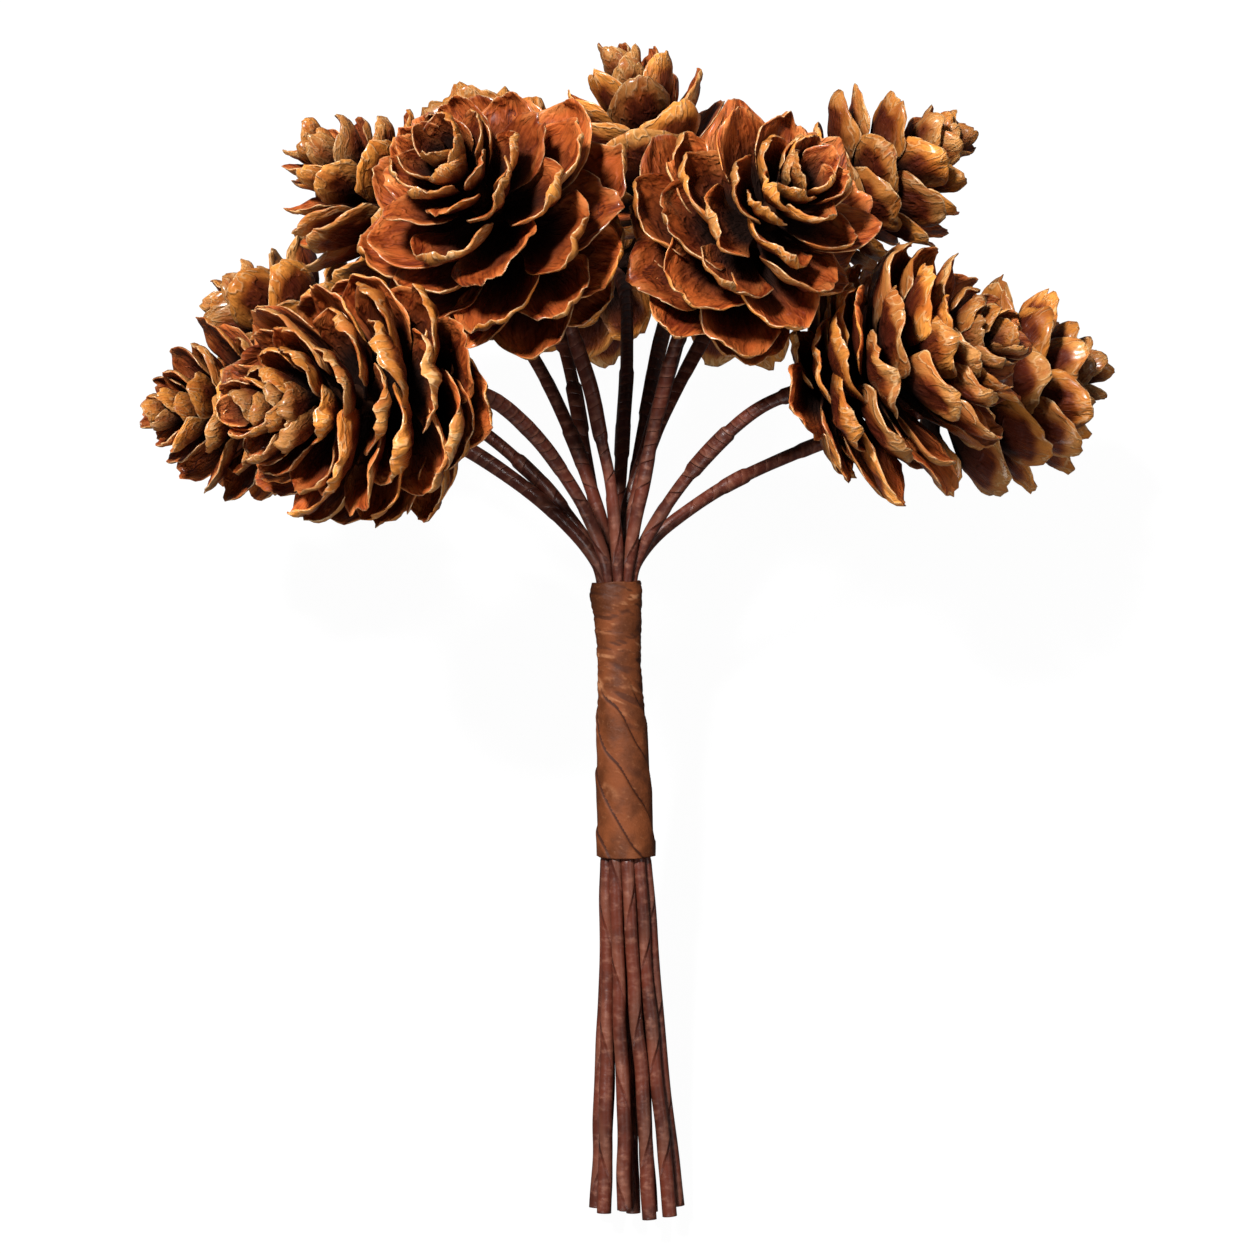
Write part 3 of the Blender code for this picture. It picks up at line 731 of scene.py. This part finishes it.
def stemRoute(cone, slot):
    pitch = stemForm["pitch"]
    spread = Matrix.Rotation(stemForm["endTurn"], 3, "Y") @ slot
    lowest = Vector((
        spread.x * pitch * stemForm["splayX"] + stemForm["endShift"],
        stemForm["endRises"][cone["slot"]] * mm,
        spread.z * pitch * stemForm["splayZ"],
    ))
    bound = slot * pitch
    foot = bound + bunch["bindingFoot"] - Vector((0, mm, 0))
    gather = bound + bunch["bindingTop"] + Vector((0, mm, 0))
    end = cone["base"] - cone["axis"] * (stemForm["seatGap"] + stemForm["neck"])
    swing = (end - gather).length * stemForm["swing"]
    rise = swing * mix(stemForm["riseLow"], stemForm["riseHigh"], max(0, cone["axis"].y))
    route = [lowest.lerp(foot, share) for share in np.linspace(0, 1, stemForm["footSteps"])]
    route += [foot.lerp(gather, share) for share in np.linspace(0, 1, stemForm["boundSteps"])[1:]]
    for step in range(1, stemForm["fanSteps"] + 1):
        share = step / stemForm["fanSteps"]
        leave = (1 + 2 * share) * (1 - share) ** 2
        arrive = share**2 * (3 - 2 * share)
        up = (Vector((0, 1, 0)) + slot * stemForm["flare"]) * (share * (1 - share) ** 2 * rise)
        turn = cone["axis"] * (share**2 * (share - 1) * swing)
        route.append(gather * leave + end * arrive + up + turn)
    seat = cone["base"] - cone["axis"] * stemForm["seatGap"]
    route += [end.lerp(seat, share) for share in (0.34, 0.67, 1.0)]
    return np.array([tuple(point) for point in route])


tapeFinish = {
    # deep serves both the tape's darker blotches and painted shade at the steps between turns
    "deep": (0.056, 0.013, 0.0075),
    "body": (0.112, 0.024, 0.0125),
    # the paler colour is partly worn crepe and partly painted highlight
    "wearAndGlint": (0.285, 0.112, 0.066),
    "specular": 0.38,
    "lapDepth": 0.20 * mm,
    "crepeDepth": 0.12 * mm,
    "blotchDepth": 0.2 * mm,
}


def tapeMaterial():
    look = tapeFinish
    material, tree, skin = startMaterial("stemTape", look)
    wind = mathOf(tree, "FRACT", layerOf(tree, "spiral"))
    along = layerOf(tree, "along")
    turn = layerOf(tree, "turn")
    tint = layerOf(tree, "tint")
    crepePlace = vectorOf(tree, mathOf(tree, "MULTIPLY", along, 520.0),
                          mathOf(tree, "MULTIPLY", turn, 1.6),
                          mathOf(tree, "MULTIPLY", tint, 31.0))
    crepe = noiseOf(tree, crepePlace, 2.2, 5.0, 0.6)
    blotch = noiseOf(tree, objectPlace(tree), 170, 3.0)
    lap = mathOf(tree, "MULTIPLY", spreadOf(tree, wind, 0.0, 0.08), spreadOf(tree, wind, 1.25, 0.1))
    tone = blendOf(tree, spreadOf(tree, blotch, 0.35, 0.65), look["deep"], look["body"])
    # paler crepe specks: partly the tape's own texture, partly painted highlight
    tone = blendOf(tree, spreadOf(tree, crepe, 0.48, 0.74, 0.0, 0.5), tone, look["wearAndGlint"])
    # painted highlight on the raised edge of each turn of tape, and painted shade in the step under
    # it
    tone = blendOf(tree, spreadOf(tree, lap, 0.80, 1.0, 0.0, 0.22), tone, look["wearAndGlint"])
    tone = blendOf(tree, spreadOf(tree, lap, 0.16, 0.0, 0.0, 0.55), tone, look["deep"])
    tree.links.new(tone, skin.inputs["Base Color"])
    tree.links.new(spreadOf(tree, crepe, 0.3, 0.7, 0.28, 0.48), skin.inputs["Roughness"])
    addBump(tree, skin, (lap, 0.9, look["lapDepth"]), (crepe, 0.7, look["crepeDepth"]),
            (blotch, 0.3, look["blotchDepth"]))
    return material


# A tube of rings round a route, with a radius for each ring
def sweepTube(route, radii, sides):
    tangent = np.gradient(route, axis=0)
    tangent /= np.linalg.norm(tangent, axis=1, keepdims=True)
    across = np.cross(tangent[0], (0.3, 0.2, 1.0))
    rings = []
    turns = np.linspace(0, math.tau, sides, endpoint=False)
    cosine, sine = np.cos(turns)[:, None], np.sin(turns)[:, None]
    for point, way, radius in zip(route, tangent, radii):
        across = across - way * np.dot(across, way)
        across /= np.linalg.norm(across)
        over = np.cross(way, across)
        rings.append(point + radius * (cosine * across + sine * over))
    return np.array(rings)


# Evenly spaced points on a route, with its corners rounded off
def smoothRoute(rough, lengths, place):
    route = np.stack([np.interp(place, lengths, rough[:, axis]) for axis in range(3)], axis=1)
    half = stemForm["smoothing"]
    kernel = np.hanning(2 * half + 1)
    kernel = kernel / kernel.sum()
    start = 2 * route[:1] - route[half:0:-1]
    end = 2 * route[-1:] - route[-2:-half - 2:-1]
    padded = np.concatenate((start, route, end))
    return np.stack([np.convolve(padded[:, axis], kernel, "valid") for axis in range(3)], axis=1)


def buildStem(number, cone, slot, material):
    form = stemForm
    rng = np.random.default_rng(form["firstSeed"] + number)
    rough = stemRoute(cone, slot)
    lengths = np.concatenate(([0], np.cumsum(np.linalg.norm(np.diff(rough, axis=0), axis=1))))
    total = lengths[-1]
    count = int(total / mm * form["ringsPerMm"])
    place = np.linspace(0, total, count)
    route = smoothRoute(rough, lengths, place)
    below = form["footSteps"]
    footAt = np.interp(bunch["bindingFoot"].y, rough[:below, 1], lengths[:below])
    gatherAt = footAt + bunch["bindingLength"]

    # a rise or fall along the stem, in mm from its cut end, an end of the binding or its cone
    def between(start, first, last):
        return smoothStep(start + first * mm, start + last * mm, place)

    # the stems wander a little where they are free
    free = np.maximum(between(footAt, -1, -22) * between(0, 0, 9),
                      between(gatherAt, 3, 14) * between(total, 0, -9))
    for axis in (0, 2):
        sway = rippleField(rng, place / mm, 0 * place, 0.16, 0.0, 4)
        route[:, axis] += form["wander"] * free * sway
    # and stand a little apart where they leave the binding
    apart = between(footAt, -16, -3) * between(footAt, 3, 0)
    route[:, 0] += form["hemSpread"] * slot.x * apart
    route[:, 2] += form["hemSpread"] * slot.z * apart
    bound = between(footAt, 0, 3) * between(gatherAt, 6, -1)
    radius = mix(form["radiusCut"], form["radius"], between(0, 0, 30))
    radius = mix(radius, form["radiusBound"], bound)
    # thick and thin turns of tape in steps towards the cone
    radius = radius * mix(1.0, form["fanGrowth"], between(gatherAt, 8, 30))
    stepAt = gatherAt + 12 * mm
    level = 1.0
    while stepAt < total - 2 * mm:
        newLevel = rng.uniform(*form["levels"])
        radius = radius * mix(1.0, newLevel / level, between(stepAt, -0.3, 0.3))
        level = newLevel
        stepAt += rng.uniform(*form["levelEvery"]) * mm
    swell = rippleField(rng, place / mm, 0 * place, 0.35, 0.0, 4)
    radius = radius * (1 + form["unevenness"] * swell)
    radius = np.minimum(radius, form["radiusSeat"] * form["seatGrowth"])
    # the tape's edge as turns along the stem, close together in the fan
    rate = mix(1 / form["tapePitch"], 1 / form["tapePitchFan"], between(gatherAt, 8, 26))
    wound = np.cumsum(np.gradient(place) * rate) * rng.uniform(0.8, 1.2) + rng.uniform(0, 1)
    sides = form["sides"]
    rings = sweepTube(route, radius, sides)
    index = np.arange(count * sides).reshape(count, sides)
    after = np.roll(index, -1, axis=1)
    quads = np.stack((index[:-1], after[:-1], after[1:], index[1:]), axis=-1).reshape(-1, 4)
    faces = quads.tolist()
    faces.append(tuple(range(sides - 1, -1, -1)))
    faces.append(tuple(int(i) for i in index[-1]))
    turnStart = np.tile(np.arange(sides) / sides, count - 1)
    turnEnd = turnStart + 1 / sides
    turnCorner = np.stack((turnStart, turnEnd, turnEnd, turnStart), axis=-1)
    spiral = wound[quads // sides] + turnCorner * rng.choice((-1, 1))
    ends = np.zeros(2 * sides)
    points = movedBy(lay, rings.reshape(-1, 3))
    floorDip = np.minimum(points[:, 2], 0).min()
    points[:, 2] = np.maximum(points[:, 2], 0.0)
    layers = {
        "spiral": np.concatenate((spiral.ravel(), ends)),
        "along": np.repeat(place, sides),
        "turn": np.concatenate((turnCorner.ravel(), ends)),
        "tint": np.full(count * sides, rng.uniform(0, 1)),
    }
    piece = makeMesh(f"stem_{number:02d}", points, faces, layers, material)
    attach(piece, "root")
    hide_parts(f"stem_tape_{number:02d}")
    return floorDip


# The tape that binds the stems: tight wrinkled turns at the top, long slanting laps below.
# The profile pairs a share of the length from the top with a radius in mm
bindingForm = {
    "profile": ((0.0, 3.14), (0.04, 3.24), (0.14, 3.04), (0.27, 2.81), (0.40, 2.83), (0.60, 3.22),
                (0.78, 3.46), (1.0, 3.66)),
    "bore": 2.62 * mm,
    "flare": 0.30 * mm,
    "tightPitch": 2.3,
    "longPitch": 27.0,
    "waistPitch": 9.0,
    "folds": 4,
    "lapTight": 0.07 * mm,
    "lapLong": 0.30 * mm,
    "creaseDepth": 0.085 * mm,
    "sink": 0.06 * mm,
    "lipWave": (0.08 * mm, 0.12 * mm),
    "hemWave": (0.25 * mm, 0.10 * mm),
    "past": {"top": 0.25 * mm, "foot": 0.2 * mm},
    "rings": 180,
    "sides": 104,
    "seed": 77,
}

bindingFinish = {
    # deep is the painted shade of the creases and of the seams between laps
    "deep": (0.050, 0.013, 0.005),
    "body": (0.180, 0.047, 0.013),
    # the paler colour serves the crepe and painted highlights on the creases
    "wearAndGlint": (0.460, 0.200, 0.090),
    "dimShare": 0.48,
    "specular": 0.20,
    "crepeDepth": 0.18 * mm,
    "blotchDepth": 0.30 * mm,
    "fineDepth": 0.05 * mm,
}


def bindingMaterial():
    look = bindingFinish
    material, tree, skin = startMaterial("bindingTape", look)
    groove = layerOf(tree, "groove")
    crease = layerOf(tree, "crease")
    along = layerOf(tree, "along")
    turn = layerOf(tree, "turn")
    slant = mathOf(tree, "SUBTRACT", mathOf(tree, "MULTIPLY", along, 700.0),
                   mathOf(tree, "MULTIPLY", turn, 3.0))
    crepePlace = vectorOf(tree, slant, mathOf(tree, "MULTIPLY", turn, 9.0), 0.0)
    crepe = noiseOf(tree, crepePlace, 2.4, 6.0, 0.65)
    blotch = noiseOf(tree, objectPlace(tree), 240, 4.0)
    fine = noiseOf(tree, objectPlace(tree), 1900, 3.0)
    dim = tuple(look["dimShare"] * channel for channel in look["body"])
    tone = blendOf(tree, spreadOf(tree, blotch, 0.34, 0.66), dim, look["body"])
    # paler crepe: partly the tape's own texture, partly painted highlight
    tone = blendOf(tree, spreadOf(tree, crepe, 0.56, 0.78, 0.0, 0.35), tone, look["wearAndGlint"])
    # painted highlight on the crests of the creases
    glint = mathOf(tree, "MULTIPLY", spreadOf(tree, crease, 0.66, 0.95),
                   spreadOf(tree, blotch, 0.46, 0.60))
    tone = blendOf(tree, mathOf(tree, "MULTIPLY", glint, 0.7), tone, look["wearAndGlint"])
    # painted shade in the hollows of the creases and in the seams of the laps
    tone = blendOf(tree, spreadOf(tree, crease, 0.34, 0.05, 0.0, 0.75), tone, look["deep"])
    tone = blendOf(tree, spreadOf(tree, groove, 0.10, 0.70), tone, look["deep"])
    tree.links.new(tone, skin.inputs["Base Color"])
    tree.links.new(spreadOf(tree, blotch, 0.3, 0.7, 0.50, 0.75), skin.inputs["Roughness"])
    addBump(tree, skin, (crepe, 0.7, look["crepeDepth"]), (blotch, 0.45, look["blotchDepth"]),
            (fine, 0.4, look["fineDepth"]))
    return material


def buildBinding(material):
    form = bindingForm
    rng = np.random.default_rng(form["seed"])
    rings, sides = form["rings"], form["sides"]
    share = np.linspace(0, 1, rings)[:, None]
    turn = np.linspace(0, 1, sides, endpoint=False)[None, :]
    circle = turn * math.tau
    depth = share * bunch["bindingLength"] / mm
    cosine, sine = np.cos(circle), np.sin(circle)
    shares, radii = zip(*form["profile"])
    radius = np.interp(share[:, 0], shares, radii)[:, None] * mm + 0 * turn
    # tight turns at the top, long slanting folds from a third of the way down
    wobble = rippleField(rng, depth * 0.5, 0 * depth, 0.8, 0.0, 3)
    tight = (depth / form["tightPitch"] + 0.10 * wobble - turn) % 1.0
    sway = 0.22 * rippleField(rng, cosine, sine + 0.05 * depth, 1.3, 1.6, 3)
    steep = depth / form["longPitch"] - turn
    longFold = (form["folds"] * steep + sway + 0.35) % 1.0
    lower = smoothStep(11.5, 16.0, depth)
    lap = form["lapTight"] * (1 - lower) * (smoothStep(0, 0.12, tight) - tight)
    lap = lap + form["lapLong"] * lower * (smoothStep(0, 0.10, longFold) - 0.9 * longFold)
    # wrinkles along the tight turns, slanted creases at the waist, soft ones below
    slant = (depth / form["tightPitch"] - turn) * math.tau
    wrinkle = rippleField(rng, slant * 0.8, cosine * 1.6 + sine, 1.0, 1.4, 7)
    soft = rippleField(rng, steep * 9.0, depth * 0.08 + cosine, 1.5, 1.2, 4)
    waist = smoothStep(8.0, 12.0, depth) * smoothStep(22.0, 15.0, depth)
    slope = (depth / form["waistPitch"] - turn) * math.tau
    slanted = 1 - 3 * np.abs(rippleField(rng, slope, cosine, 1.1, 0.6, 4))
    crease = (1 - lower) * wrinkle + lower * 0.65 * soft
    crease = mix(crease, slanted, 0.8 * waist)
    surface = radius + lap + form["creaseDepth"] * crease - form["sink"]
    groove = (1 - lower) * 0.5 * smoothStep(0.10, 0.0, tight)
    groove = groove + lower * smoothStep(0.10, 0.01, longFold)
    # a lip that flares to one side and a slightly uneven hem
    flare = form["flare"] * smoothStep(0.16, 0.03, share) * smoothStep(-0.1, 1.0, -cosine)
    flare = flare * smoothStep(-0.01, 0.03, share)
    surface = surface + flare
    tilt, wave = form["lipWave"]
    lip = tilt * np.cos(circle - 0.5) + wave * rippleField(rng, cosine, sine, 3.0, 3.0)
    tilt, wave = form["hemWave"]
    hem = tilt * np.sin(circle - 0.6) + wave * rippleField(rng, cosine, sine, 4.0, 3.0)
    height = -share * bunch["bindingLength"] + lip * smoothStep(0.12, 0.0, share)
    height = height + hem * smoothStep(0.9, 1.0, share)
    lowest = -bunch["bindingLength"] - form["past"]["foot"]
    height = np.clip(height, lowest, form["past"]["top"])
    outside = np.stack((surface * cosine, surface * sine, height), axis=-1)
    inside = outside[::-1].copy()[:: rings - 1]
    inside[..., 0] = form["bore"] * cosine
    inside[..., 1] = form["bore"] * sine
    local = np.concatenate((outside, inside))
    index = np.arange(len(local) * sides).reshape(len(local), sides)
    after = np.roll(index, -1, axis=1)
    below = np.roll(index, -1, axis=0)
    belowAfter = np.roll(after, -1, axis=0)
    faces = np.stack((index, below, belowAfter, after), axis=-1).reshape(-1, 4).tolist()
    axis = (bunch["bindingTop"] - bunch["bindingFoot"]).normalized()
    sideways = Vector((1, 0, 0))
    right = (sideways - axis * axis.dot(sideways)).normalized()
    turned = Matrix((right, axis.cross(right), axis)).transposed().to_4x4()
    points = movedBy(lay @ Matrix.Translation(bunch["bindingTop"]) @ turned, local.reshape(-1, 3))
    pad = np.zeros((2, sides))
    layers = {
        "groove": np.concatenate((groove + 0 * circle, pad)).ravel(),
        "along": np.concatenate((depth * mm + 0 * circle, pad)).ravel(),
        "turn": np.concatenate((turn + 0 * depth, pad)).ravel(),
        "crease": np.concatenate((0.5 + 0.5 * crease, pad + 0.2)).ravel(),
    }
    piece = makeMesh("binding", points, faces, layers, material)
    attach(piece, "root")
    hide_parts("binding_tape")


wireFinish = {
    "dark": (0.36, 0.35, 0.33),
    "light": (0.55, 0.54, 0.52),
    "roughness": 0.38,
    "specular": 0.5,
    "drawDepth": 0.02 * mm,
}


def wireMaterial():
    look = wireFinish
    material, tree, skin = startMaterial("stemWire", look)
    skin.inputs["Metallic"].default_value = 1.0
    drawn = noiseOf(tree, objectPlace(tree), 2400, 3.0)
    tone = blendOf(tree, drawn, look["dark"], look["light"])
    tree.links.new(tone, skin.inputs["Base Color"])
    addBump(tree, skin, (drawn, 0.2, look["drawDepth"]))
    return material


# The wires keep their solids and only get the drawn steel
def coatWires(material):
    for name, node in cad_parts.items():
        if not name.startswith("stem_wire"):
            continue
        if not node.material_slots:
            node.data.materials.append(material)
        for slot in node.material_slots:
            slot.material = material


print("building cones")
scaleSkin = scaleMaterial()
coreSkin = coreMaterial()
for coneName, cone in cones.items():
    buildCone(coneName, cone, scaleSkin, coreSkin)

print("building stems")
tapeSkin = tapeMaterial()
slots = stemSlots()
dips = [buildStem(number, cone, slots[cone["slot"]], tapeSkin)
        for number, cone in enumerate(cones.values(), start=1)]
print("stems' lowest point below the table, mm:", round(min(dips) / mm, 3))

print("building binding")
buildBinding(bindingMaterial())

print("coating wires")
coatWires(wireMaterial())

# Floor, lights and camera; the lamps' places are in metres from the aim, in the bunch's own frame
studio = {
    "floorSize": 16.0,
    "floorTone": (0.05, 0.05, 0.0505),
    "floorPatch": (0.045, 0.045, 0.046),
    "floorGlow": 0.97,
    "roughness": 0.9,
    "specular": 0.1,
    "sky": 0.09,
    "backdropRadius": 6.0,
    "backdropSides": 96,
    "aimY": 110 * mm,
    "lights": {
        "key": {"from": (-0.26, 0.36, 0.70), "size": 0.11, "power": 11.5},
        "fill": {"from": (0.55, 0.05, 0.55), "size": 0.35, "power": 0.8},
        "low": {"from": (-0.20, -0.60, 0.45), "size": 0.40, "power": 2.0},
    },
}


def buildStudio():
    bpy.ops.mesh.primitive_plane_add(size=studio["floorSize"], location=(0, 0, 0))
    floor = bpy.context.active_object
    floor.name = "floor"
    material, tree, paper = startMaterial("floorPaper", studio)
    patch = spreadOf(tree, noiseOf(tree, objectPlace(tree), 6.0, 2.0), 0.3, 0.7)
    tone = blendOf(tree, patch, studio["floorTone"], studio["floorPatch"])
    tree.links.new(tone, paper.inputs["Base Color"])
    paper.inputs["Emission Color"].default_value = (1, 1, 1, 1)
    paper.inputs["Emission Strength"].default_value = studio["floorGlow"]
    floor.data.materials.append(material)
    bpy.ops.mesh.primitive_cylinder_add(
        vertices=studio["backdropSides"],
        radius=studio["backdropRadius"],
        depth=studio["backdropRadius"],
        end_fill_type="NOTHING",
    )
    backdrop = bpy.context.active_object
    backdrop.name = "backdrop"
    backdrop.data.materials.append(material)
    for sheet in (floor, backdrop):
        sheet.visible_diffuse = False  # its white glow stays off the undersides
        sheet.visible_glossy = False
    world = bpy.data.worlds.new("studio")
    bpy.context.scene.world = world
    world.use_nodes = True
    sky = world.node_tree.nodes["Background"]
    sky.inputs["Color"].default_value = (1, 1, 1, 1)
    sky.inputs["Strength"].default_value = studio["sky"]
    target = lay @ Vector((0, studio["aimY"], 0))
    for name, light in studio["lights"].items():
        lamp = bpy.data.lights.new(name, "AREA")
        lamp.size = light["size"]
        lamp.energy = light["power"]
        holder = bpy.data.objects.new(name, lamp)
        bpy.context.scene.collection.objects.link(holder)
        holder.location = target + lay.to_3x3() @ Vector(light["from"])
        holder.rotation_euler = (target - holder.location).to_track_quat("-Z", "Y").to_euler()


# The camera looks straight at the bunch's front; the aim is in the photograph's own pixels
camera = {
    "distance": 448 * mm,
    "sensor": 36,
    "photoWidth": 1254,
    "pixel": 0.128 * mm,
    "axisColumn": 622,
    "footRow": 1215,
}


def buildCamera():
    lens = bpy.data.cameras.new("camera")
    holder = bpy.data.objects.new("camera", lens)
    bpy.context.scene.collection.objects.link(holder)
    middle = camera["photoWidth"] / 2
    aim = Vector(((middle - camera["axisColumn"]) * camera["pixel"],
                  (camera["footRow"] - middle) * camera["pixel"], camera["distance"]))
    holder.matrix_world = lay @ Matrix.Translation(aim)
    lens.sensor_width = camera["sensor"]
    lens.lens = camera["sensor"] * camera["distance"] / (camera["photoWidth"] * camera["pixel"])
    bpy.context.scene.camera = holder


print("building studio")
buildStudio()
buildCamera()
bpy.context.scene.view_settings.view_transform = "Standard"
bpy.context.scene.view_settings.look = "None"
